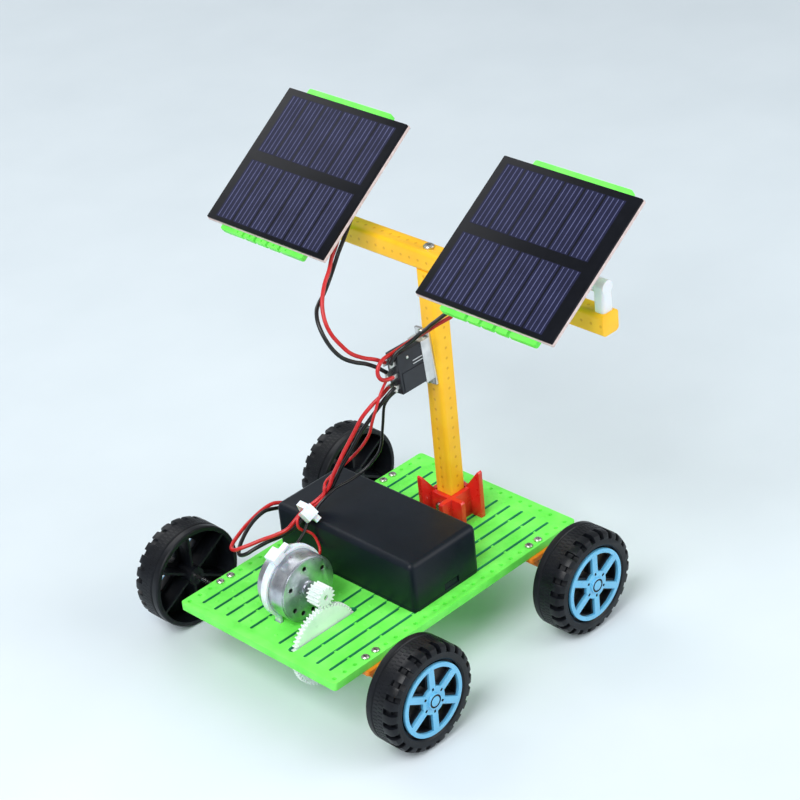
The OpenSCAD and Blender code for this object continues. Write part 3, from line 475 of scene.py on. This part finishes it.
ROUTES = {
    "panel_wire_left_red": [
        (27.5, 28.5, 149.2), (24.5, 28.5, 145), (22, 28, 141), (18.5, 26.5, 138.5), (15, 25, 136.5),
        (11.5, 23, 134), (7.5, 21.5, 131), (4, 19.5, 128), (1.5, 17.5, 124.5), (0, 15, 120.5),
        (0, 12.5, 116.5), (1.5, 10, 112.5), (3.5, 7.5, 109), (7.5, 5.5, 106), (11.5, 4, 104),
        (15.6, 3.6, 101)],
    "panel_wire_left_black": [
        (27.5, 25, 149.2), (24.5, 25, 145), (21.5, 25, 141), (18, 24.5, 137.5), (15, 24.5, 133),
        (11.5, 24, 129), (7, 22, 127), (2.5, 20.5, 125), (-0.5, 18.5, 124), (-3, 15.5, 121.5),
        (-4, 12, 117.5), (-3, 9.5, 113), (-0.5, 7.5, 109), (3.5, 6, 106), (8, 5, 103.5), (12, 4, 100.5),
        (15.6, 3.4, 97)],
    "panel_wire_right_red": [
        (27.6, -29, 149.6), (24.6, -29.6, 145.2), (22.3, -29.7, 140.4), (21.4, -28.9, 135.2),
        (21.8, -27.3, 130.1), (22.9, -24.9, 125.7), (23.3, -21.1, 122.6), (23.5, -16.8, 119.4),
        (24.4, -12.6, 116.1), (25.5, -8.5, 112.9), (25.4, -4.2, 109.7), (24, -0.9, 106.9),
        (21.7, 0.7, 105.4), (17.8, 1.3, 104.7), (13.5, 1.3, 104.5), (10.8, 1.1, 103.5), (9.1, 0.8, 101.5),
        (9.1, 0.5, 99.2), (10.6, 0.3, 97.3), (13, 0.1, 96.4), (15.6, 0, 96.2)],
    "panel_wire_right_black": [
        (27.6, -31.4, 149.6), (24.75, -32, 145.75), (22, -32.25, 141.5), (20.25, -31.5, 137),
        (19.75, -29.5, 132.5), (20.25, -26.25, 129), (20.75, -22.5, 125.75), (21.5, -18.75, 122.5),
        (22, -15, 119.25), (22.75, -11.5, 116), (23, -7.75, 112.75), (22.25, -4.75, 109.75),
        (20.5, -2.5, 107.5), (17.75, -1, 105.75), (16, -0.25, 103.75), (15.4, 0.4, 101.4)],
    "battery_wire_red": [
        (15.6, 2.8, 91.3), (11, 2.5, 89.75), (7.25, 4, 87), (4, 6, 83), (2, 7.75, 78.5),
        (0.25, 9.75, 73.75), (-1.5, 11.75, 69), (-3.25, 13.5, 64.25), (-4.75, 15.5, 59.25), (-6, 16.75, 55),
        (-8.25, 18.25, 51.75), (-12.25, 20.25, 49), (-16.5, 20.75, 48), (-20, 21.5, 45.75),
        (-23, 22.75, 43), (-26.5, 25.5, 41.25), (-29.75, 29.25, 39.5), (-33.75, 32.75, 37.75),
        (-36.25, 35, 36.75), (-37, 37.25, 35.5), (-36.5, 39.75, 35), (-34.5, 41.5, 35),
        (-30.75, 43.25, 35.25), (-25.75, 44.75, 36), (-20.5, 45.5, 37), (-15.25, 45.25, 38.5),
        (-11.25, 44, 39.5), (-8, 42.75, 38.75), (-6, 41.25, 37.5), (-4.75, 38.75, 36.75), (-4.6, 35, 36.6)],
    "battery_wire_black": [
        (15.6, -0.3, 92.1), (13.5, 0, 90.9), (11.5, 1.1, 88.8), (9.4, 3.4, 84.8), (7.1, 5.7, 80.5),
        (4.9, 8, 76.1), (2.9, 9.9, 71.5), (1, 11.9, 66.8), (-1.3, 13.8, 62.3), (-2.9, 15.6, 57.5),
        (-5.2, 17.2, 52.9), (-8.6, 18.7, 49.3), (-12.5, 19.1, 47.7), (-15, 19.1, 47.2),
        (-17.2, 19.6, 45.9), (-18.4, 20.8, 43.8), (-20.2, 22.9, 41.4), (-23.5, 25.7, 39.2),
        (-28.2, 28.2, 38.2), (-33, 30.3, 36.9), (-35.5, 31.8, 35.6), (-36.5, 33.8, 34.4),
        (-36.1, 36.2, 33.6), (-34.5, 38.2, 33.6), (-31.5, 40.2, 34.5), (-26.8, 41.9, 36.5),
        (-21.8, 42.7, 38.4), (-16.9, 42.8, 39.4), (-13.3, 42.9, 38.6), (-8.8, 43.3, 36.8), (-5, 42.9, 36.2),
        (-2.7, 41.5, 36.3), (-1.5, 39, 36.6), (-1.4, 35, 36.6)],
    "motor_wire_red": [
        (15.6, 3, 95), (11.1, 1.9, 92.1), (8.6, 1.6, 89.1), (7.4, 2.4, 85.1), (6.9, 4.2, 80),
        (7, 6.2, 74.9), (6.1, 8.8, 70.1), (4.7, 11.8, 65.8), (3, 15.1, 61.8), (0.1, 17.8, 58.4),
        (-3.7, 18.7, 56.7), (-6.2, 18.2, 56.2), (-7.9, 17.3, 55.1), (-8.7, 16.9, 53.1), (-9.9, 17.1, 51.1),
        (-12.2, 17.7, 49.8), (-16.3, 18.1, 49.4), (-19.1, 18.3, 49.6), (-21.1, 18.1, 49),
        (-22.3, 17.7, 47.2), (-22, 17.4, 45.1), (-20.6, 17.2, 43.4), (-18.9, 16.3, 42.3), (-17.5, 15, 40.4),
        (-17.4, 13.3, 37.8), (-18.1, 11.9, 35.7), (-19.8, 11, 34.5), (-22.1, 10.4, 34.3), (-25.6, 10.8, 35.2),
        (-28.8, 12.2, 37), (-31.8, 13.2, 39), (-34.4, 12.4, 40.8), (-35.5, 10.2, 41.6), (-35.6, 7.4, 41.65)],
    "motor_wire_black": [
        (15.6, -0.5, 90.5), (13.5, 1, 88.5), (12, 2, 86), (12, 3, 83), (12.5, 4.5, 77.5), (13, 6, 72.5),
        (13.5, 7.5, 67), (13, 9.5, 62), (10, 11.5, 58), (6, 13, 55.5), (1, 14, 54.5), (-4.5, 15, 54),
        (-9, 15.5, 52.5), (-13.5, 16.5, 49.5), (-17.5, 17, 46), (-21, 16, 43.5), (-25, 15, 42),
        (-30, 14, 41.5), (-35.5, 14, 40.5), (-40.5, 12.5, 41), (-43.5, 11.5, 41.5), (-45.2, 9.8, 41.65),
        (-45.6, 7.4, 41.65)],
}


def smooth_route(points, steps=6):
    """Catmull-Rom curve through the points, in metres."""
    p = [Vector(q) * MM for q in points]
    last = len(p) - 1
    found = []
    for i in range(last):
        a, b, c, d = p[max(i - 1, 0)], p[i], p[i + 1], p[min(i + 2, last)]
        for k in range(steps):
            t = k / steps
            found.append(0.5 * (2 * b + (c - a) * t + (2 * a - 5 * b + 4 * c - d) * t * t
                                + (3 * b - a - 3 * c + d) * t ** 3))
    return found + [p[last]]


def tube(name, line, radius, sides=14):
    """Round mesh tube along a line of points, closed at both ends."""
    bm = bmesh.new()
    rings = []
    side = Vector((0, 0, 1))
    for i, point in enumerate(line):
        ahead = (line[min(i + 1, len(line) - 1)] - line[max(i - 1, 0)]).normalized()
        side = (side - ahead * side.dot(ahead)).normalized()
        other = ahead.cross(side)
        ring = []
        for k in range(sides):
            angle = 2 * math.pi * k / sides
            ring.append(bm.verts.new(point + radius * (math.cos(angle) * side + math.sin(angle) * other)))
        rings.append(ring)
    for low, high in zip(rings, rings[1:]):
        for k in range(sides):
            bm.faces.new((low[k], low[(k + 1) % sides], high[(k + 1) % sides], high[k]))
    bm.faces.new(reversed(rings[0]))
    bm.faces.new(rings[-1])
    return new_object(name, bm, 50)


def make_wires():
    for node, points in ROUTES.items():
        thin = node.startswith("motor")
        diameter = (THIN_WIRE_D if thin else WIRE_D) * MM
        line = smooth_route(points)
        wire = tube(node + "_cord", line, diameter / 2)
        paint(wire, "wire_red" if node.endswith("red") else "wire_black")
        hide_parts(node)
        if node.startswith("panel"):
            panel = "panel_left" if "left" in node else "panel_right"
            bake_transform(wire, "chassis", panel, start=line[-1], end=line[0])
        else:
            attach(wire, "chassis")


make_wires()


# ---- deck and brackets ------------------------------------------------------------

STUD_R = 0.85
STUD_SINK = 0.12
STUD_SQUASH = 0.36
STUDS_PER_ROW = 15
STUD_END_GAP = 7.5
EDGE_ROW_Y = 36
BRIDGE_COUNT = 7
BRIDGE_FIRST_X = -49
BRIDGE_PITCH = 16.2
BRIDGE_SIZE = (0.9, 1.6, 1.1)


def finish(node, width, paint_names, segments=2):
    """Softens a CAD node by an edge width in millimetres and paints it."""
    obj = softened(node, width, segments)
    paint(obj, *paint_names)
    return obj


def deck_studs():
    """Low round studs along the ribs, and at twice the pitch along the deck's two edges."""
    bm = bmesh.new()
    ribs = [side * (FIRST_SLOT_Y + (i + 0.5) * SLOT_PITCH)
            for side in (-1, 1) for i in range(SLOTS_PER_SIDE - 1)]
    ribs += [-2.9, 2.9, -EDGE_ROW_Y, EDGE_ROW_Y]
    pitch = (DECK_LENGTH - 2 * STUD_END_GAP) / (STUDS_PER_ROW - 1)
    for row, y in enumerate(ribs):
        step = 2 if abs(y) == EDGE_ROW_Y else 1
        for k in range(0, STUDS_PER_ROW, step):
            x = -DECK_LENGTH / 2 + STUD_END_GAP + k * pitch + (row % 2) * 1.2
            place = Matrix.Translation((x, y, DECK_TOP - STUD_SINK))
            made = bmesh.ops.create_uvsphere(bm, u_segments=12, v_segments=8, radius=STUD_R, matrix=place)
            bmesh.ops.scale(bm, vec=(1, 1, STUD_SQUASH), verts=made["verts"], space=place.inverted())
    finish_mm(bm)
    obj = new_object("deck_studs", bm, 60)
    paint(obj, "green")
    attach(obj, "chassis")


def slot_bridges():
    """Thin webs across the slots, a little below the top, that keep the ribs apart."""
    bm = bmesh.new()
    for side in (-1, 1):
        for i in range(SLOTS_PER_SIDE):
            y = side * (FIRST_SLOT_Y + i * SLOT_PITCH)
            for k in range(BRIDGE_COUNT):
                x = BRIDGE_FIRST_X + k * BRIDGE_PITCH
                box_into(bm, BRIDGE_SIZE, Matrix.Translation((x, y, DECK_TOP - 1.0)))
    finish_mm(bm)
    obj = new_object("slot_bridges", bm)
    paint(obj, "green")
    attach(obj, "chassis")


def painted_slot_shade_test(normal, corners):
    """Test for the walls of the deck's slots, which get painted shade: a darker green standing in for the
    little light they get.
    """
    front, rear, half_width = SLOT_AREA
    inside = all(front < c.x < rear and abs(c.y) < half_width for c in corners)
    return inside and abs(normal.z) < 0.4


# the slot walls get the darker green as painted shade
mark_faces(finish("base_plate", 0.22, ["green", "slot"]), painted_slot_shade_test)
deck_studs()
slot_bridges()
for end in ("front", "rear"):
    for side_name, side in SIDES:
        finish(f"bracket_{end}_{side_name}", 0.25, ["orange"])
paint_recess_shade(finish("bracket_screws", 0.1, ["screw", "recess"]), (0, 0, 1))


# ---- battery case -----------------------------------------------------------------

finish("battery_case", 0.35, ["case"])
finish("battery_cover", 0.2, ["case"])
finish("battery_cells", 0.4, ["wrap"])
finish("battery_contacts", 0.1, ["spring"])


# ---- motor and gears --------------------------------------------------------------

finish("motor_can", 0.4, ["can"], 3)
finish("motor_end_cap", 0.25, ["can"])
finish("motor_tie", 0.18, ["nylon"])
finish("motor_shaft", 0.15, ["axle"])
finish("motor_core", 0.2, ["copper"])
finish("pinion", 0.05, ["gear"], 1)
finish("drive_gear", 0.06, ["gear"], 1)


MOTOR_X = FRONT_AXLE_X + 2.37
MOTOR_Z = 38.65
STRAP_R = 12.63 + 1.1
RUNG_COUNT = 46
RUNG_SIZE = (0.35, 2.2, 0.24)
RUNG_START, RUNG_SWEEP = -12, 150


def motor_tie_rungs():
    """Fine rungs on the strap of the motor's cable tie, which its locking head grips."""
    low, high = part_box("motor_tie")
    centre = Vector((MOTOR_X, (low.y + high.y) / 2 / MM, MOTOR_Z))
    bm = bmesh.new()
    for k in range(RUNG_COUNT):
        angle = math.radians(RUNG_START + RUNG_SWEEP * k / (RUNG_COUNT - 1))
        out = Vector((math.cos(angle), 0, math.sin(angle)))
        turn = Matrix.Rotation(-angle + math.pi / 2, 4, "Y")
        box_into(bm, RUNG_SIZE, Matrix.Translation(centre + out * STRAP_R) @ turn)
    finish_mm(bm)
    obj = new_object("motor_tie_rungs", bm)
    paint(obj, "nylon")
    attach(obj, "chassis")


motor_tie_rungs()


# ---- wheels -----------------------------------------------------------------------

HUBCAP_FACE_Y = WHEEL_INNER_Y + 13.2
RIBS_ROUND = 84
RIB_THICK = 0.5
RIB_HEIGHT = 0.22
RIB_SINK = 0.12
RIB_ROWS = ((4.6, 1.7, 0.0), (6.9, 1.9, 0.5))  # distance from the inner edge, width and shift of a row


def wheel_body(end):
    return "drive_axle" if end == "front" else "rear_axle_set"


def tread_ribs(name, x, side, body):
    """Two rows of fine ribs round the tread."""
    bm = bmesh.new()
    for inner, width, shift in RIB_ROWS:
        for k in range(RIBS_ROUND):
            angle = 2 * math.pi * (k + shift) / RIBS_ROUND
            out = Vector((math.cos(angle), 0, math.sin(angle))) * (WHEEL_R - RIB_SINK)
            spot = Matrix.Translation(Vector((x, side * (WHEEL_INNER_Y + inner), WHEEL_R)) + out)
            spot = spot @ Matrix.Rotation(-angle + math.pi / 2, 4, "Y")
            box_into(bm, (RIB_THICK, width, RIB_HEIGHT), spot)
    finish_mm(bm)
    obj = new_object(name, bm)
    paint(obj, "wheel")
    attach(obj, body)


def hubcap_mark(x, side):
    """Test for the floor of the ring in the hubcap's boss and of the six marks round it."""
    def test(normal, corners):
        reach = [math.hypot(c.x - x, c.z - WHEEL_R) for c in corners]
        depth = max(HUBCAP_FACE_Y - side * c.y for c in corners)
        ring = min(reach) > 1.7 and max(reach) < 2.75 and -0.7 < depth < -0.1
        mark = min(reach) > 3.8 and max(reach) < 5.2 and depth > 0.1
        return ring or mark
    return test


for end in ("front", "rear"):
    x = FRONT_AXLE_X if end == "front" else REAR_AXLE_X
    for side_name, side in SIDES:
        place_name = f"{end}_{side_name}"
        finish(f"wheel_{place_name}", 0.3, ["wheel"])
        tread_ribs(f"tread_ribs_{place_name}", x, side, wheel_body(end))
        cap = finish(f"hubcap_{place_name}", 0.18, ["hubcap", "hub_mark"])
        mark_faces(cap, hubcap_mark(x, side))
finish("front_axle", 0.15, ["axle"])
finish("rear_axle", 0.15, ["axle"])

# ---- mast, crossbar and switch ----------------------------------------------------

finish("mast_foot", 0.22, ["red"])
paint_recess_shade(finish("foot_screws", 0.1, ["screw", "recess"]), (-1, 0, 0))
finish("mast", 0.12, ["mast"])
finish("crossbar", 0.3, ["crossbar"])
paint_recess_shade(finish("crossbar_screw", 0.12, ["screw", "recess"]), (0, 0, 1))
for side_name, side in SIDES:
    finish(f"post_{side_name}", 0.3, ["white"])
paint_recess_shade(finish("post_screws", 0.12, ["screw", "recess"]), (0, 0, -1))
finish("tilt_screws", 0.12, ["screw", "recess"])
finish("switch_frame", 0.12, ["frame"])
finish("switch_body", 0.3, ["switch"])
finish("switch_plunger", 0.15, ["switch"])
finish("switch_lugs", 0.08, ["tin"])
paint_recess_shade(finish("switch_screws", 0.1, ["screw", "recess"]), (-1, 0, 0))
finish("wire_tie", 0.25, ["nylon"])


SOLDER_R = 0.75
LUG_TOP_Z = 120  # a wire's end below this height is its end at the switch


def solder_joints():
    """Blob of solder where each wire meets its lug."""
    bm = bmesh.new()
    for points in ROUTES.values():
        end = Vector(points[0]) if points[0][2] < LUG_TOP_Z else Vector(points[-1])
        place = Matrix.Translation(end + Vector((0.2, 0, 0)))
        made = bmesh.ops.create_icosphere(bm, subdivisions=3, radius=SOLDER_R, matrix=place)
        for vert in made["verts"]:
            off = vert.co - end
            lump = 0.92 + 0.1 * math.sin(off.x * 4.1 + off.y * 3.3) * math.cos(off.z * 3.7)
            vert.co = end + Vector((off.x * 1.1, off.y * 0.95, off.z)) * lump
    finish_mm(bm)
    obj = new_object("solder_joints", bm, 80)
    paint(obj, "tin")
    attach(obj, "chassis")


solder_joints()


LID_SIZE = (14.2, 0.5, 7.6)
RIVET_R = 0.62
RIVET_PLACES = ((-3.2, 5.4), (4.4, 5.9))
CLIP_BARS = (((5.4, 0.35, 0.32), (1.6, -0.05, 3.1)),
             ((5.4, 0.35, 0.32), (1.6, -0.05, 1.9)),
             ((0.32, 0.35, 1.5), (4.2, -0.05, 2.5)))


def switch_details():
    """Lid plate, two rivet heads and a spring clip on the switch's right-hand face."""
    low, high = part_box("switch_body")
    face_y = low.y / MM + 0.72
    lean = Matrix.Rotation(math.radians(-5.5), 4, "X")
    middle = Vector(((low.x + high.x) / 2 / MM, face_y, (low.z + high.z) / 2 / MM))
    place = Matrix.Translation(middle) @ lean
    bm = bmesh.new()
    box_into(bm, LID_SIZE, place @ Matrix.Translation((0, -0.02, -3.3)))
    bmesh.ops.bevel(bm, geom=list(bm.edges), offset=0.2, segments=2, affect="EDGES")
    finish_mm(bm)
    lid = new_object("switch_lid", bm)
    paint(lid, "switch")
    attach(lid, "chassis")
    bm = bmesh.new()
    for x, z in RIVET_PLACES:
        spot = place @ Matrix.Translation((x, 0.05, z))
        made = bmesh.ops.create_uvsphere(bm, u_segments=14, v_segments=8, radius=RIVET_R, matrix=spot)
        bmesh.ops.scale(bm, vec=(1, 0.55, 1), verts=made["verts"], space=spot.inverted())
    for size, shift in CLIP_BARS:
        box_into(bm, size, place @ Matrix.Translation(shift))
    finish_mm(bm)
    metal_bits = new_object("switch_rivets", bm, 50)
    paint(metal_bits, "frame")
    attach(metal_bits, "chassis")


switch_details()


# ---- solar panels -----------------------------------------------------------------

CELL_ROWS = ((-27.4, -2.4), (1.6, 26.4))
CELL_EDGES = {"left": (-27.2, 27.0), "right": (-25.6, 27.6)}  # from the middle of each panel
GROUPS = 6
LINES = 4
GROUP_GAP = 0.7
LINE_WIDTH = 0.3
CELL_LIFT = 0.03
LINE_LIFT = 0.05


def panel_place(side_name):
    """Places what is drawn with +X up the panel's slope and z = 0 on its face."""
    tilt = Matrix.Rotation(-PANEL_TILT[side_name], 4, "Y")
    return Matrix.Translation((MAST_X, 0, PIVOT_HEIGHT)) @ tilt @ Matrix.Translation((0, 0, PANEL_FACE))


def strip_into(bm, x0, x1, y0, y1, z, index):
    """Adds a flat strip, at height z over the panel's face, with a material index."""
    corners = [bm.verts.new((x, y, z)) for x, y in ((x0, y0), (x1, y0), (x1, y1), (x0, y1))]
    face = bm.faces.new(corners)
    face.material_index = index


def cell_sheet(side_name, side):
    """Cells under the resin: two rows of six, each with fine pale grid lines up the slope."""
    bm = bmesh.new()
    left, right = [PANEL_Y * side + edge for edge in CELL_EDGES[side_name]]
    pitch = (right - left) / GROUPS
    for low, high in CELL_ROWS:
        for g in range(GROUPS):
            y0 = left + g * pitch + GROUP_GAP / 2
            width = pitch - GROUP_GAP
            strip_into(bm, low, high, y0, y0 + width, CELL_LIFT, 0)
            for k in range(LINES):
                y = y0 + (k + 0.5) * width / LINES
                strip_into(bm, low + LINE_WIDTH, high - LINE_WIDTH, y - LINE_WIDTH / 2, y + LINE_WIDTH / 2,
                           LINE_LIFT, 1)
    bmesh.ops.transform(bm, matrix=panel_place(side_name), verts=bm.verts)
    finish_mm(bm)
    for face in bm.faces:
        face.normal_update()
        if face.normal.z < 0:
            face.normal_flip()
    mesh = bpy.data.meshes.new(f"cells_{side_name}")
    bm.to_mesh(mesh)
    bm.free()
    obj = bpy.data.objects.new(f"cells_{side_name}", mesh)
    bpy.context.scene.collection.objects.link(obj)
    paint(obj, "cell", "grid")
    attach(obj, "panel_" + side_name)


for side_name, side in SIDES:
    finish(f"arm_{side_name}", 0.25, ["white"])
    finish(f"arm_screw_{side_name}", 0.1, ["screw", "recess"])
    finish(f"back_plate_{side_name}", 0.25, ["green"])
    finish(f"panel_board_{side_name}", 0.08, ["board"])
    finish(f"panel_cover_{side_name}", 0.12, ["resin"])
    cell_sheet(side_name, side)


# ---- floor and light --------------------------------------------------------------

def make_floor():
    bm = bmesh.new()
    bmesh.ops.create_grid(bm, x_segments=1, y_segments=1, size=4)
    mesh = bpy.data.meshes.new("floor")
    bm.to_mesh(mesh)
    bm.free()
    floor = bpy.data.objects.new("floor", mesh)
    bpy.context.scene.collection.objects.link(floor)
    pale = Paint("floor_paper", rough=0.9)
    pale.colour(pale.ramp(pale.noise(60), ((0.66, 0.74, 0.79), (0.69, 0.77, 0.82))))
    floor.data.materials.append(pale.material)


def area_light(name, place, target, size, power):
    data = bpy.data.lights.new(name, "AREA")
    data.size = size
    data.energy = power
    light = bpy.data.objects.new(name, data)
    light.location = place
    light.rotation_euler = (Vector(target) - Vector(place)).to_track_quat("-Z", "Y").to_euler()
    bpy.context.scene.collection.objects.link(light)


def make_world(strength):
    world = bpy.data.worlds.new("studio")
    world.use_nodes = True
    back = world.node_tree.nodes["Background"]
    back.inputs["Color"].default_value = (0.93, 0.96, 1.0, 1)
    back.inputs["Strength"].default_value = strength
    bpy.context.scene.world = world
    bpy.context.scene.view_settings.view_transform = "Standard"


make_floor()
make_world(0.38)
area_light("key", (-0.75, -0.2, 0.95), (0, 0, 0.06), 0.7, 12.5)
area_light("fill", (0.5, -0.85, 0.6), (0, 0, 0.06), 0.8, 6.5)
area_light("back", (0.1, 1.0, 0.9), (0, 0, 0.08), 0.8, 4.5)
